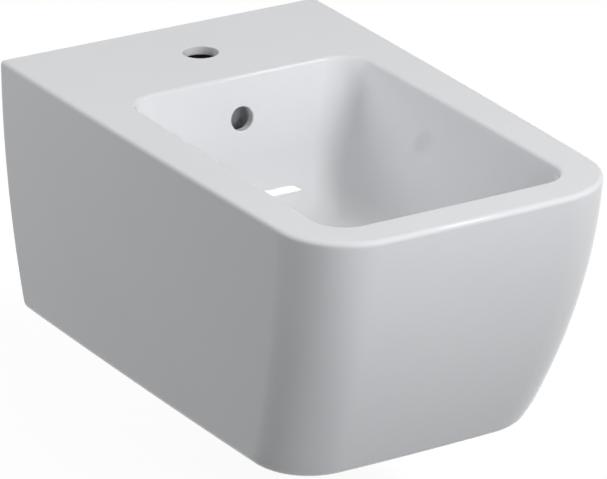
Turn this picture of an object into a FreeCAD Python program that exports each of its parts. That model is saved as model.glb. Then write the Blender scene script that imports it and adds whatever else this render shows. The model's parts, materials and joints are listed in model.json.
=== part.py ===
import FreeCAD, Part
import math
import os

# Wall-hung bidet. Millimetres, +Z up. The wall is the plane y = 0, the front faces -Y, and x = 0 is
# the plane of symmetry. The origin is midway between the two wall fixings.

# Ceramic body, outside
body_width = 355.0  # across the back, at the wall
front_width = 329.0  # where the sides reach the front
body_depth = 567.0  # from the wall to the ends of the bowed front
body_height = 268.5  # from foot to rim
side_bow = 2.3
front_bow = 3.4
rim_corner_radius = 72.0
foot_corner_radius = 60.5
foot_side_inset = 21.6  # how far the skirt leans in at each side of the foot
foot_front_inset = 93.4  # how far the front leans in at the foot
front_lean = 44.3  # the straight share of that lean
rim_edge_radius = 5.5
foot_edge_radius = 16.0

# Ceramic body, walls and openings
wall_thickness = 9.0
deck_thickness = 9.0
foot_thickness = 10.0
rear_wall_thickness = 16.0
rear_wall_height = 150.0  # from the rim down to the pipe opening
rear_return_width = 42.0  # upright strip at each side of the pipe opening
foot_lip_width = 30.0  # shelf left around the opening in the foot, inside the skirt
inner_corner_radius = 20.0
tap_hole_diameter = 35.0
tap_hole_distance = 78.0  # from the wall
tap_hole_edge_radius = 1.2

# Bowl
bowl_width = 256.0
bowl_back = 154.0  # from the wall to the back of the bowl
front_rim_width = 38.5  # from the front of the bowl to the front of the body
bowl_corner_radius = 32.0
bowl_floor_corner_radius = 46.0
bowl_side_bow = 1.0
bowl_end_bow = 1.0
bowl_side_draft = 15.5  # degrees
bowl_back_draft = 8.0
bowl_front_draft = 10.0
bowl_edge_radius = 5.0
bowl_depth = 140.0  # to the edge of the floor
bowl_floor_fall = 6.0  # from the edge of the floor to the waste
bowl_knee_radius = 40.0
floor_roundness = 0.96  # how nearly the floor ends in a full circle at the waste

# Overflow
overflow_diameter = 24.0
overflow_depth = 43.0  # below the rim
overflow_edge_radius = 1.5
channel_width = 40.0
channel_gap = 18.0
channel_wall = 10.0

# Waste hole
waste_distance = 300.0  # from the wall
waste_hole_clearance = 2.05  # around the waste tube
waste_boss_diameter = 84.0
waste_boss_height = 45.0
seat_land = 4.0  # flat ring of floor around the flange

# Wall fixings
fixing_spacing = 180.0
fixing_drop = 95.0  # below the rim
stud_diameter = 12.0
stud_in_wall = 60.0
stud_end = 7.0  # past the nut
stud_wall_thread = 52.0  # length of the thread in the wall
stud_nut_thread = 30.0  # length of the thread at the nut
stud_shank_diameter = 10.8  # plain middle between the threads
stud_tip = 1.2
sleeve_diameter = 20.0
sleeve_clearance = 0.2  # around the sleeve in the ceramic
stud_clearance = 0.2  # around the stud in the sleeve and washer
sleeve_setback = 0.6  # sleeve end behind the wall face
collar_diameter = 34.0
collar_thickness = 3.0
washer_diameter = 30.0
washer_thickness = 2.5
stud_nut_across_flats = 19.0
stud_nut_height = 10.0
cap_wall = 1.6
cap_clearance = 0.4  # between stud end and cap

# Waste fitting
flange_diameter = 64.0
flange_thickness = 4.0
flange_rim_thickness = 1.6
flange_mouth_diameter = 46.0
flange_gap = 1.0  # between flange and the wall of its seat
seal_thickness = 2.0
seal_setback = 2.0  # seal edge inside the flange edge
tube_diameter = 41.9  # G 1 1/4 thread
tube_wall = 2.95
tube_length = 95.0
window_count = 3
window_width = 12.0
window_height = 14.0
window_depth = 14.0  # below the flange
crossbar_depth = 36.0
crossbar_height = 6.0
crossbar_arm_width = 4.0
hub_diameter = 23.0
gasket_height = 8.0
gasket_top_diameter = 54.0
gasket_foot_diameter = 62.0
slip_washer_thickness = 1.5
slip_washer_diameter = 58.0
back_nut_across_flats = 54.0
back_nut_height = 10.0
nut_chamfer = 1.2
relief_width = 3.0  # groove in the tube below the nut
relief_depth = 1.0
relief_drop = 2.0  # from nut to groove

# Push latch
sleeve_outer = 17.0
sleeve_inner = 13.4
sleeve_above_hub = 12.0
sleeve_below_hub = 20.0
sleeve_floor = 3.0
sleeve_collar = 21.0
sleeve_collar_height = 2.0
drain_diameter = 4.0
guide_height = 4.0
guide_flange_height = 1.6
run_clearance = 0.08  # stem in its guide
latch_clearance = 0.4  # between moving pieces and what they run in
stem_diameter = 8.0
stem_collar_height = 3.0
spigot_diameter = 6.0
rotor_height = 4.0
rotor_teeth = 4
rotor_tooth_height = 1.0
rotor_hub_wall = 1.0  # ring left inside the teeth
spring_wire = 1.0
spring_turns = 6.0

# Plug
plug_lift = 9.0
plug_diameter = 60.0
plug_rim_height = 2.0
plug_dome = 6.0
plug_seal_radius = 2.5
plug_seal_centre = 18.0  # radius of the ring's centre line
plug_seal_clearance = 0.3  # to the mouth of the flange when shut
plug_lip = 1.4  # how far the lip below the ring stands out
plug_lip_height = 1.6
stem_thread_length = 7.0

# How far a cutting shape runs past the faces that it cuts
overrun = 1.0

# Levels and places that follow from the sizes
rim_z = fixing_drop
foot_z = rim_z - body_height
seat_z = rim_z - bowl_depth - bowl_floor_fall
boss_foot_z = seat_z - waste_boss_height
overflow_z = rim_z - overflow_depth
bowl_front = body_depth - front_rim_width
waste_y = -waste_distance
tube_bore = tube_diameter - 2 * tube_wall
waste_hole_diameter = tube_diameter + 2 * waste_hole_clearance
seal_diameter = flange_diameter - 2 * seal_setback
seat_radius = flange_diameter / 2 + flange_gap
seat_depth = flange_thickness + seal_thickness
rear_inner_y = -rear_wall_thickness

os.makedirs("parts", exist_ok=True)


def export(solids, node):
    shape = solids[0] if len(solids) == 1 else Part.makeCompound(solids)
    shape.exportStep("parts/" + node + ".step")


def point(place, z):
    return FreeCAD.Vector(place[0], place[1], z)


def bowed_side(start, end, bow):
    # centre and radius of the shallow arc between two corners, on the inner side of a left-turning outline
    half = math.hypot(end[0] - start[0], end[1] - start[1]) / 2
    radius = (half**2 + bow**2) / (2 * bow)
    inward_x = (start[1] - end[1]) / (2 * half)
    inward_y = (end[0] - start[0]) / (2 * half)
    middle_x = (start[0] + end[0]) / 2
    middle_y = (start[1] + end[1]) / 2
    reach = radius - bow
    return (middle_x + inward_x * reach, middle_y + inward_y * reach), radius


def corner_centre(corner, before, after, radius):
    # centre of the arc that touches both sides from inside
    (ax, ay), first = before
    (bx, by), second = after
    first -= radius
    second -= radius
    apart = math.hypot(bx - ax, by - ay)
    along = (first**2 - second**2 + apart**2) / (2 * apart)
    off = math.sqrt(first**2 - along**2)
    ux = (bx - ax) / apart
    uy = (by - ay) / apart
    foot_x = ax + along * ux
    foot_y = ay + along * uy
    choices = [(foot_x - off * uy, foot_y + off * ux), (foot_x + off * uy, foot_y - off * ux)]
    return min(choices, key=lambda c: math.hypot(c[0] - corner[0], c[1] - corner[1]))


def on_circle(circle, place):
    (cx, cy), radius = circle
    reach = math.hypot(place[0] - cx, place[1] - cy)
    return cx + (place[0] - cx) * radius / reach, cy + (place[1] - cy) * radius / reach


def outline(corners, bows, radii, z):
    # closed wire of bowed or straight sides with rounded or sharp corners, turning left
    count = len(corners)
    circles = []
    for i in range(count):
        following = corners[(i + 1) % count]
        circles.append(bowed_side(corners[i], following, bows[i]) if bows[i] else None)
    starts = list(corners)
    ends = [corners[(i + 1) % count] for i in range(count)]
    middles = [None] * count
    for i in range(count):
        if radii[i]:
            centre = corner_centre(corners[i], circles[i - 1], circles[i], radii[i])
            ends[i - 1] = on_circle(circles[i - 1], centre)
            starts[i] = on_circle(circles[i], centre)
            middles[i] = on_circle((centre, radii[i]), corners[i])
    edges = []
    for i in range(count):
        if middles[i]:
            arc = Part.Arc(point(ends[i - 1], z), point(middles[i], z), point(starts[i], z))
            edges.append(arc.toShape())
        if circles[i]:
            chord_middle = ((starts[i][0] + ends[i][0]) / 2, (starts[i][1] + ends[i][1]) / 2)
            crown = on_circle(circles[i], chord_middle)
            arc = Part.Arc(point(starts[i], z), point(crown, z), point(ends[i], z))
            edges.append(arc.toShape())
        else:
            edges.append(Part.makeLine(point(starts[i], z), point(ends[i], z)))
    return Part.Wire(edges)


def skirt_outline(share, inset, back_y):
    # plan of the skirt at a share of the way from rim to foot, moved in by the inset
    side = foot_side_inset * share**2 + inset
    front = front_lean * share + (foot_front_inset - front_lean) * share**2 + inset
    half_back = body_width / 2 - side
    half_front = front_width / 2 - side
    front_y = front - body_depth
    radius = foot_corner_radius + (rim_corner_radius - foot_corner_radius) * (1 - share) ** 3 - inset
    corners = [(half_back, back_y), (-half_back, back_y), (-half_front, front_y), (half_front, front_y)]
    bows = [0, side_bow, front_bow, side_bow]
    return outline(corners, bows, [0, 0, radius, radius], rim_z - body_height * share)


def skirt_form(upper_z, lower_z, inset, back_y):
    rows = []
    steps = 5
    for i in range(steps + 1):
        z = upper_z + (lower_z - upper_z) * i / steps
        rows.append(skirt_outline((rim_z - z) / body_height, inset, back_y))
    return Part.makeLoft(rows, True, False)


def wall_inset(draft, depth, grow):
    # how far a bowl wall has come in at a depth: a straight slope, then the knee
    slope = math.radians(draft)
    knee = bowl_knee_radius + grow
    knee_depth = bowl_depth - bowl_knee_radius
    if depth <= knee_depth + knee * math.sin(slope):
        return depth * math.tan(slope)
    centre = knee_depth * math.tan(slope) + knee / math.cos(slope)
    return centre - math.sqrt(max(knee**2 - (depth - knee_depth) ** 2, 0))


def bowl_plan(half, back_y, front_y, radius, bow_share, z):
    corners = [(half, back_y), (-half, back_y), (-half, front_y), (half, front_y)]
    end_bow = bowl_end_bow * bow_share
    flank_bow = bowl_side_bow * bow_share
    return outline(corners, [end_bow, flank_bow, end_bow, flank_bow], [radius] * 4, z)


def bowl_sizes(depth, grow):
    # half width, back, front and corner radius of the bowl at a depth
    half = bowl_width / 2 + grow - wall_inset(bowl_side_draft, depth, grow)
    back_y = -bowl_back + grow - wall_inset(bowl_back_draft, depth, grow)
    front_y = -bowl_front - grow + wall_inset(bowl_front_draft, depth, grow)
    share = min(depth / bowl_depth, 1)
    radius = bowl_corner_radius + (bowl_floor_corner_radius - bowl_corner_radius) * share + grow * (1 - share)
    return half, back_y, front_y, radius


def bowl_form(grow):
    # solid that fills the bowl, or with a growth the bowl and its wall: walls, knee and falling floor
    knee = bowl_knee_radius + grow
    knee_depth = bowl_depth - bowl_knee_radius
    wall_rows = [bowl_plan(*bowl_sizes(depth, grow), 1, rim_z - depth) for depth in (0, knee_depth)]
    knee_rows = []
    for angle in range(0, 91, 15):
        depth = knee_depth + knee * math.sin(math.radians(angle))
        knee_rows.append(bowl_plan(*bowl_sizes(depth, grow), 1, rim_z - depth))
    floor_depth = knee_depth + knee
    edge_sizes = bowl_sizes(floor_depth, grow)
    land = seat_radius + seat_land + grow / 2
    land_sizes = (land, waste_y + land, waste_y - land, land * floor_roundness)
    floor_rows = []
    for i in range(6):
        share = i / 5
        sizes = [a + (b - a) * share for a, b in zip(edge_sizes, land_sizes)]
        fall = bowl_floor_fall * (3 * share**2 - 2 * share**3)
        floor_rows.append(bowl_plan(*sizes, 1 - floor_roundness * share, rim_z - floor_depth - fall))
    faces = [Part.Face(wall_rows[0]), Part.Face(floor_rows[-1])]
    faces += Part.makeLoft(wall_rows, False, True).Faces
    faces += Part.makeLoft(knee_rows, False, False).Faces
    faces += Part.makeLoft(floor_rows, False, False).Faces
    skin = Part.Compound(faces)
    skin.sewShape()
    return Part.Solid(skin.Shells[0])


def upright(diameter, place, top_z, foot_z_):
    return Part.makeCylinder(diameter / 2, top_z - foot_z_, FreeCAD.Vector(place[0], place[1], foot_z_))


def revolved(profile):
    # solid of revolution about Z from (radius, z) points, with arcs given as (through, end)
    edges = []
    last = profile[0]
    for step in profile[1:] + [profile[0]]:
        if isinstance(step[0], tuple):
            through, end = step
            a, b, c = (FreeCAD.Vector(q[0], 0, q[1]) for q in (last, through, end))
            edges.append(Part.Arc(a, b, c).toShape())
            last = end
        elif step != last:
            a, b = (FreeCAD.Vector(q[0], 0, q[1]) for q in (last, step))
            edges.append(Part.makeLine(a, b))
            last = step
    face = Part.Face(Part.Wire(edges))
    return face.revolve(FreeCAD.Vector(0, 0, 0), FreeCAD.Vector(0, 0, 1), 360)


def turned(profile):
    # the same about the axis of the waste
    solid = revolved(profile)
    solid.translate(FreeCAD.Vector(0, waste_y, 0))
    return solid


def hexagon_nut(across_flats, bore, height, chamfer):
    # nut standing on z = 0 about the Z axis
    corner = across_flats / math.sqrt(3)
    corners = []
    for i in range(7):
        turn = math.radians(60 * i)
        corners.append(FreeCAD.Vector(corner * math.cos(turn), corner * math.sin(turn), 0))
    prism = Part.Face(Part.makePolygon(corners)).extrude(FreeCAD.Vector(0, 0, height))
    rounding = Part.makeCylinder(corner, height)
    rims = [edge for edge in rounding.Edges if edge.Closed]
    prism = prism.common(rounding.makeChamfer(chamfer, rims))
    return prism.cut(Part.makeCylinder(bore / 2, height))


def along_wall_axis(solid, y):
    # one copy at each fixing, with the solid's +Z turned to -Y and its foot at y
    copies = []
    for side in (-1, 1):
        copy = solid.copy()
        copy.rotate(FreeCAD.Vector(0, 0, 0), FreeCAD.Vector(1, 0, 0), 90)
        copy.translate(FreeCAD.Vector(side * fixing_spacing / 2, y, 0))
        copies.append(copy)
    return copies


def ring(outer, inner, height):
    return Part.makeCylinder(outer / 2, height).cut(Part.makeCylinder(inner / 2, height))


# Ceramic body: the outer form with rounded rim and foot edges, cut flat at the wall
body = skirt_form(rim_z, foot_z, 0, overrun)
rim_edges = [e for e in body.Edges if e.BoundBox.ZMin > rim_z - 0.01 and e.BoundBox.YMin < -overrun]
body = body.makeFillet(rim_edge_radius, rim_edges)
foot_edges = [e for e in body.Edges if e.BoundBox.ZMax < foot_z + 0.01 and e.BoundBox.YMin < -overrun]
body = body.makeFillet(foot_edge_radius, foot_edges)
past_wall_corner = FreeCAD.Vector(-body_width, 0, foot_z - rim_z)
past_wall = Part.makeBox(2 * body_width, 2 * overrun, 2 * body_height, past_wall_corner)
body = body.cut(past_wall)

# The hollow behind the skirt, open at the foot and at the back
hollow_top = rim_z - deck_thickness
hollow_foot = foot_z + foot_thickness
body = body.cut(skirt_form(hollow_top, hollow_foot, wall_thickness, rear_inner_y))

# Bowl wall, overflow duct and waste boss fill part of the hollow again
filled_bowl = bowl_form(wall_thickness)
channel_back_y = -bowl_back + wall_thickness + channel_gap
channel_foot_z = seat_z - wall_thickness - channel_gap
channel_top_z = overflow_z + overflow_diameter / 2 + channel_wall / 2
duct_half = channel_width / 2 + channel_wall
duct = Part.makeBox(
    2 * duct_half,
    channel_back_y + channel_wall - waste_y,
    rim_z - deck_thickness / 2 - channel_foot_z + channel_wall,
    FreeCAD.Vector(-duct_half, waste_y, channel_foot_z - channel_wall),
)
upright_edges = [e for e in duct.Edges if e.BoundBox.YMin > channel_back_y and e.BoundBox.XLength < 0.01]
duct = duct.makeFillet(channel_wall, upright_edges)
boss = upright(waste_boss_diameter, (0, waste_y), seat_z, boss_foot_z)
below_deck = FreeCAD.Vector(-body_width, -2 * body_depth, rim_z - deck_thickness / 2 - 2 * body_height)
filled_bowl = filled_bowl.common(Part.makeBox(2 * body_width, 3 * body_depth, 2 * body_height, below_deck))
body = body.fuse([filled_bowl, duct, boss])

# The bowl with its rounded rim
body = body.cut(bowl_form(0))
middle_of_rim = front_rim_width / 2
bowl_edges = [e for e in body.Edges if e.BoundBox.ZMin > rim_z - 0.01 and e.BoundBox.YMax < -bowl_back / 2 and
              e.BoundBox.YMin > -bowl_front - middle_of_rim and
              abs(e.CenterOfMass.x) < bowl_width / 2 + middle_of_rim]
body = body.makeFillet(bowl_edge_radius, bowl_edges)

# Overflow channel from the bowl's back wall to the waste hole
channel = Part.makeBox(
    channel_width,
    channel_back_y - waste_y,
    channel_top_z - channel_foot_z,
    FreeCAD.Vector(-channel_width / 2, waste_y, channel_foot_z),
)
body = body.cut(channel.cut(bowl_form(wall_thickness)))
hole_radius = overflow_diameter / 2
mouth_rounding = overflow_edge_radius * math.sqrt(0.5)
overflow_reach = wall_thickness + channel_gap / 2
overflow = revolved([
    (0, overrun),
    (hole_radius + overflow_edge_radius, overrun),
    (hole_radius + overflow_edge_radius, 0),
    ((hole_radius + overflow_edge_radius - mouth_rounding, mouth_rounding - overflow_edge_radius),
     (hole_radius, -overflow_edge_radius)),
    (hole_radius, -overflow_reach),
    (0, -overflow_reach),
])
overflow.rotate(FreeCAD.Vector(0, 0, 0), FreeCAD.Vector(1, 0, 0), 90 - bowl_back_draft)
overflow_y = bowl_end_bow - bowl_back - wall_inset(bowl_back_draft, overflow_depth, 0)
overflow.translate(FreeCAD.Vector(0, overflow_y, overflow_z))
body = body.cut(overflow)

# Waste hole and the seat of its flange
body = body.cut(upright(waste_hole_diameter, (0, waste_y), seat_z + overrun, boss_foot_z - overrun))
body = body.cut(upright(2 * seat_radius, (0, waste_y), seat_z + overrun, seat_z - seat_depth))

# Tap hole
tap_place = (0, -tap_hole_distance)
body = body.cut(upright(tap_hole_diameter, tap_place, rim_z + overrun, hollow_top - overrun))
tap_edges = [e for e in body.Edges if e.Closed and e.BoundBox.ZMin > rim_z - 0.01 and
             e.BoundBox.YMin > -tap_hole_distance - tap_hole_diameter]
body = body.makeFillet(tap_hole_edge_radius, tap_edges)

# Fixing holes in the rear wall, the pipe opening below it and the opening in the foot
fixing_hole = Part.makeCylinder(sleeve_diameter / 2 + sleeve_clearance, rear_wall_thickness + 2 * overrun)
body = body.cut(along_wall_axis(fixing_hole, overrun))
opening_half = body_width / 2 - foot_side_inset - rear_return_width
pipe_opening = Part.makeBox(
    2 * opening_half,
    rear_wall_thickness + 2 * overrun,
    rim_z - rear_wall_height - foot_z + overrun,
    FreeCAD.Vector(-opening_half, -rear_wall_thickness - overrun, foot_z - overrun),
)
upper_edges = [e for e in pipe_opening.Edges if e.BoundBox.ZMin > foot_z and e.BoundBox.YLength > overrun]
body = body.cut(pipe_opening.makeFillet(inner_corner_radius, upper_edges))
foot_half = front_width / 2 - foot_side_inset - wall_thickness - foot_lip_width
foot_front_y = foot_front_inset + wall_thickness + 2 * foot_lip_width - body_depth
foot_corners = [
    (opening_half, overrun),
    (-opening_half, overrun),
    (-foot_half, foot_front_y),
    (foot_half, foot_front_y),
]
foot_radii = [0, 0, 2 * inner_corner_radius, 2 * inner_corner_radius]
foot_wire = outline(foot_corners, [0, side_bow, front_bow, side_bow], foot_radii, foot_z - overrun)
body = body.cut(Part.Face(foot_wire).extrude(FreeCAD.Vector(0, 0, foot_thickness + 2 * overrun)))
export(body.Solids, "ceramic_body")

# Wall fixings
stud_inner_y = rear_inner_y - collar_thickness - washer_thickness - stud_nut_height - stud_end
stud_length = stud_in_wall - stud_inner_y
stud_radius = stud_diameter / 2
shank_radius = stud_shank_diameter / 2
stud = revolved([
    (0, 0),
    (stud_radius - stud_tip, 0),
    (stud_radius, stud_tip),
    (stud_radius, stud_wall_thread),
    (shank_radius, stud_wall_thread),
    (shank_radius, stud_length - stud_nut_thread),
    (stud_radius, stud_length - stud_nut_thread),
    (stud_radius, stud_length - stud_tip),
    (stud_radius - stud_tip, stud_length),
    (0, stud_length),
])
export(along_wall_axis(stud, stud_in_wall), "wall_studs")
sleeve_bore = stud_diameter + 2 * stud_clearance
sleeve = ring(sleeve_diameter, sleeve_bore, rear_wall_thickness - sleeve_setback)
collar = ring(collar_diameter, sleeve_bore, collar_thickness)
collar.translate(FreeCAD.Vector(0, 0, rear_wall_thickness - sleeve_setback))
export(along_wall_axis(sleeve.fuse(collar), -sleeve_setback), "stud_sleeves")
washer_y = rear_inner_y - collar_thickness
export(along_wall_axis(ring(washer_diameter, sleeve_bore, washer_thickness), washer_y), "stud_washers")
nut_y = washer_y - washer_thickness
stud_nut = hexagon_nut(stud_nut_across_flats, stud_diameter, stud_nut_height, nut_chamfer)
export(along_wall_axis(stud_nut, nut_y), "stud_nuts")
cap_bore = stud_nut_across_flats * 2 / math.sqrt(3)
cap_depth = stud_nut_height + stud_end + cap_clearance
cap = Part.makeCylinder(cap_bore / 2 + cap_wall, cap_depth + cap_wall)
cap = cap.makeFillet(2 * cap_wall, [e for e in cap.Edges if e.BoundBox.ZMin > cap_depth])
cap = cap.cut(Part.makeCylinder(cap_bore / 2, cap_depth))
export(along_wall_axis(cap, nut_y), "nut_caps")

# Waste body: flange, tube with overflow windows, and crossbar with hub
tube_radius = tube_diameter / 2
bore_radius = tube_bore / 2
flange_radius = flange_diameter / 2
mouth_radius = flange_mouth_diameter / 2
mouth_depth = mouth_radius - bore_radius
gasket_foot = boss_foot_z - gasket_height
nut_foot = gasket_foot - slip_washer_thickness - back_nut_height
relief_top = nut_foot - relief_drop
waste_body = turned([
    (mouth_radius, seat_z),
    (flange_radius - flange_thickness, seat_z),
    (flange_radius, seat_z - flange_thickness + flange_rim_thickness),
    (flange_radius, seat_z - flange_thickness),
    (tube_radius, seat_z - flange_thickness),
    (tube_radius, relief_top),
    (tube_radius - relief_depth, relief_top),
    (tube_radius - relief_depth, relief_top - relief_width),
    (tube_radius, relief_top - relief_width),
    (tube_radius, seat_z - tube_length),
    (bore_radius, seat_z - tube_length),
    (bore_radius, seat_z - mouth_depth),
])
window_z = seat_z - window_depth - window_height
for i in range(window_count):
    window_corner = FreeCAD.Vector(-window_width / 2, 0, window_z)
    window = Part.makeBox(window_width, tube_diameter, window_height, window_corner)
    rounded = [e for e in window.Edges if e.BoundBox.YLength > overrun]
    window = window.makeFillet(window_width / 3, rounded)
    window.rotate(FreeCAD.Vector(0, 0, 0), FreeCAD.Vector(0, 0, 1), 360 * i / window_count)
    window.translate(FreeCAD.Vector(0, waste_y, 0))
    waste_body = waste_body.cut(window)
crossbar_top = seat_z - crossbar_depth
crossbar_foot = crossbar_top - crossbar_height
hub = upright(hub_diameter, (0, waste_y), crossbar_top, crossbar_foot)
for i in range(window_count):
    arm = Part.makeBox(crossbar_arm_width, bore_radius + tube_wall / 2, crossbar_height,
                       FreeCAD.Vector(-crossbar_arm_width / 2, 0, crossbar_foot))
    arm.rotate(FreeCAD.Vector(0, 0, 0), FreeCAD.Vector(0, 0, 1), 360 * (i + 0.5) / window_count)
    arm.translate(FreeCAD.Vector(0, waste_y, 0))
    hub = hub.fuse(arm)
waste_body = waste_body.fuse(hub)
waste_body = waste_body.cut(upright(sleeve_outer, (0, waste_y), crossbar_top, crossbar_foot))
export([waste_body.removeSplitter()], "waste_body")

# Seals, washer and nut around the waste tube
flange_foot = seat_z - flange_thickness
seal_ring = ring(seal_diameter, tube_diameter, seal_thickness)
seal_ring.translate(FreeCAD.Vector(0, waste_y, flange_foot - seal_thickness))
export([seal_ring], "flange_seal")
gasket = turned([
    (tube_radius, boss_foot_z),
    (gasket_top_diameter / 2, boss_foot_z),
    (gasket_foot_diameter / 2, boss_foot_z - gasket_height / 2),
    (gasket_foot_diameter / 2, gasket_foot),
    (tube_radius, gasket_foot),
])
export([gasket], "body_gasket")
slip_washer = ring(slip_washer_diameter, tube_diameter, slip_washer_thickness)
slip_washer.translate(FreeCAD.Vector(0, waste_y, gasket_foot - slip_washer_thickness))
export([slip_washer], "slip_washer")
back_nut = hexagon_nut(back_nut_across_flats, tube_diameter, back_nut_height, nut_chamfer)
back_nut.translate(FreeCAD.Vector(0, waste_y, nut_foot))
export([back_nut], "back_nut")

# Push latch: housing, guide, rotor and spring, drawn with the plug raised
sleeve_top = crossbar_top + sleeve_above_hub
sleeve_foot = crossbar_foot - sleeve_below_hub
chamber_floor = sleeve_foot + sleeve_floor
outer_radius = sleeve_outer / 2
inner_radius = sleeve_inner / 2
cartridge = turned([
    (outer_radius, sleeve_top),
    (inner_radius, sleeve_top),
    (inner_radius, chamber_floor),
    (drain_diameter / 2, chamber_floor),
    (drain_diameter / 2, sleeve_foot),
    (outer_radius, sleeve_foot),
    (outer_radius, crossbar_top),
    (sleeve_collar / 2, crossbar_top),
    (sleeve_collar / 2, crossbar_top + sleeve_collar_height),
    (outer_radius, crossbar_top + sleeve_collar_height),
])
export([cartridge], "cartridge_sleeve")
stem_radius = stem_diameter / 2
guide_bore = stem_radius + run_clearance
guide_foot = sleeve_top - guide_height
guide = turned([
    (guide_bore, sleeve_top + guide_flange_height),
    (outer_radius, sleeve_top + guide_flange_height),
    (outer_radius, sleeve_top),
    (inner_radius, sleeve_top),
    (inner_radius, guide_foot),
    (guide_bore, guide_foot),
])
export([guide], "cartridge_guide")
collar_top = guide_foot - latch_clearance
stem_collar_foot = collar_top - stem_collar_height
runner_radius = inner_radius - latch_clearance
rotor_top = stem_collar_foot - latch_clearance
rotor_foot = rotor_top - rotor_height
spigot_radius = spigot_diameter / 2
rotor = turned([
    (spigot_radius + run_clearance, rotor_top),
    (runner_radius, rotor_top),
    (runner_radius, rotor_foot),
    (spigot_radius + run_clearance, rotor_foot),
])
for i in range(rotor_teeth):
    gap_foot = rotor_top - rotor_tooth_height
    gap_corner = FreeCAD.Vector(spigot_radius + rotor_hub_wall, -spigot_radius / 2, gap_foot)
    gap = Part.makeBox(2 * runner_radius, spigot_radius, rotor_tooth_height, gap_corner)
    gap.rotate(FreeCAD.Vector(0, 0, 0), FreeCAD.Vector(0, 0, 1), 360 * i / rotor_teeth)
    gap.translate(FreeCAD.Vector(0, waste_y, 0))
    rotor = rotor.cut(gap)
export([rotor], "latch_rotor")
spring_radius = runner_radius - spring_wire / 2
spring_height = rotor_foot - latch_clearance - chamber_floor
coil_rise = spring_height - spring_wire
coil = Part.makeHelix(coil_rise / spring_turns, coil_rise, spring_radius)
wire_centre = FreeCAD.Vector(spring_radius, 0, 0)
wire_section = Part.makeCircle(spring_wire / 2, wire_centre, FreeCAD.Vector(0, 1, 0))
spring = Part.Wire(coil).makePipeShell([Part.Wire(wire_section)], True, True)
spring.translate(FreeCAD.Vector(0, waste_y, chamber_floor + spring_wire / 2))
export([spring], "cartridge_spring")

# Plug: seal ring, cap with a lip that holds the ring, and stem
seal_reach = math.sqrt(2) * (plug_seal_radius + plug_seal_clearance)
shut_seal_z = seat_z - mouth_radius + plug_seal_centre + seal_reach
ring_z = shut_seal_z + plug_lift
plug_ring = Part.makeTorus(plug_seal_centre, plug_seal_radius, FreeCAD.Vector(0, waste_y, ring_z))
export([plug_ring], "plug_seal")
cap_foot = ring_z + plug_seal_radius
core_radius = plug_seal_centre - plug_seal_radius
lip_top = ring_z - plug_seal_radius
lip_foot = lip_top - plug_lip_height
cap_radius = plug_diameter / 2
cap_rim = cap_foot + plug_rim_height
dome_bulge = plug_dome * 0.75
dome_cap = turned([
    (0, cap_rim + plug_dome),
    ((cap_radius / 2, cap_rim + dome_bulge), (cap_radius, cap_rim)),
    (cap_radius, cap_foot),
    (core_radius, cap_foot),
    (core_radius, lip_top),
    (core_radius + plug_lip, lip_top),
    (core_radius + plug_lip, lip_foot),
    (stem_radius, lip_foot),
    (stem_radius, lip_foot + stem_thread_length),
    (0, lip_foot + stem_thread_length),
])
export([dome_cap], "plug_cap")
stem_foot = rotor_foot - spring_height / 3
stem = turned([
    (0, lip_foot + stem_thread_length),
    (stem_radius, lip_foot + stem_thread_length),
    (stem_radius, collar_top),
    (runner_radius, collar_top),
    (runner_radius, stem_collar_foot),
    (spigot_radius, stem_collar_foot),
    (spigot_radius, stem_foot),
    (0, stem_foot),
])
export([stem], "plug_stem")
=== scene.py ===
import cmath
import json
import math

import bmesh
import bpy
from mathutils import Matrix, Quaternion, Vector
from mathutils.geometry import tessellate_polygon
from mathutils.kdtree import KDTree


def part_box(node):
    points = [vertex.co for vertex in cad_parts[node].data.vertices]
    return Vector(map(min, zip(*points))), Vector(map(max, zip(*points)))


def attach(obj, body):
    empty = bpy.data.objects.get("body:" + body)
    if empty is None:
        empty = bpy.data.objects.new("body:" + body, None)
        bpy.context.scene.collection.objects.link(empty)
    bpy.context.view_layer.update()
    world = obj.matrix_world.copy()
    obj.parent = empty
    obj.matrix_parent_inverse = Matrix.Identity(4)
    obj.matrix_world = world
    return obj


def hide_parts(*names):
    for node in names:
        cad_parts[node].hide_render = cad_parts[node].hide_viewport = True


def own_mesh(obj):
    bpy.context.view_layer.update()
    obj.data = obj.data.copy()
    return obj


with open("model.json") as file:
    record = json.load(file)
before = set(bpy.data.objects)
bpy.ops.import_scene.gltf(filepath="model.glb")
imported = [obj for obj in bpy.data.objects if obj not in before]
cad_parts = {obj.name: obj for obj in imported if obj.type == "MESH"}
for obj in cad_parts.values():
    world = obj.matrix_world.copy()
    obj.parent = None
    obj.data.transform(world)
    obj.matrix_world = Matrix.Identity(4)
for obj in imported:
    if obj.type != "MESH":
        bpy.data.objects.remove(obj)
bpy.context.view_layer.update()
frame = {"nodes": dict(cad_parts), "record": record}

# Sizes are in metres, written in millimetres. Places in plan are complex numbers, x + y times i.
mm = 0.001
weld = mm / 1000  # points nearer than this are one

# Ceramic body, outside
body_low, body_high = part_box("ceramic_body")
rim_z = body_high.z
foot_z = body_low.z
body_height = rim_z - foot_z
body_depth = 566.75 * mm  # without the bow of the front
half_back = 177.5 * mm
half_front = 164.5 * mm
side_bow = 2.3 * mm
front_bow = 3.4 * mm
rim_corner_radius = 72 * mm
foot_corner_radius = 60.5 * mm
foot_side_inset = 21.6 * mm
foot_front_inset = 93.4 * mm
front_lean = 44.3 * mm
rim_edge_radius = 4.5 * mm
foot_edge_radius = 16 * mm
back_edge_radius = 2.5 * mm

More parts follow.
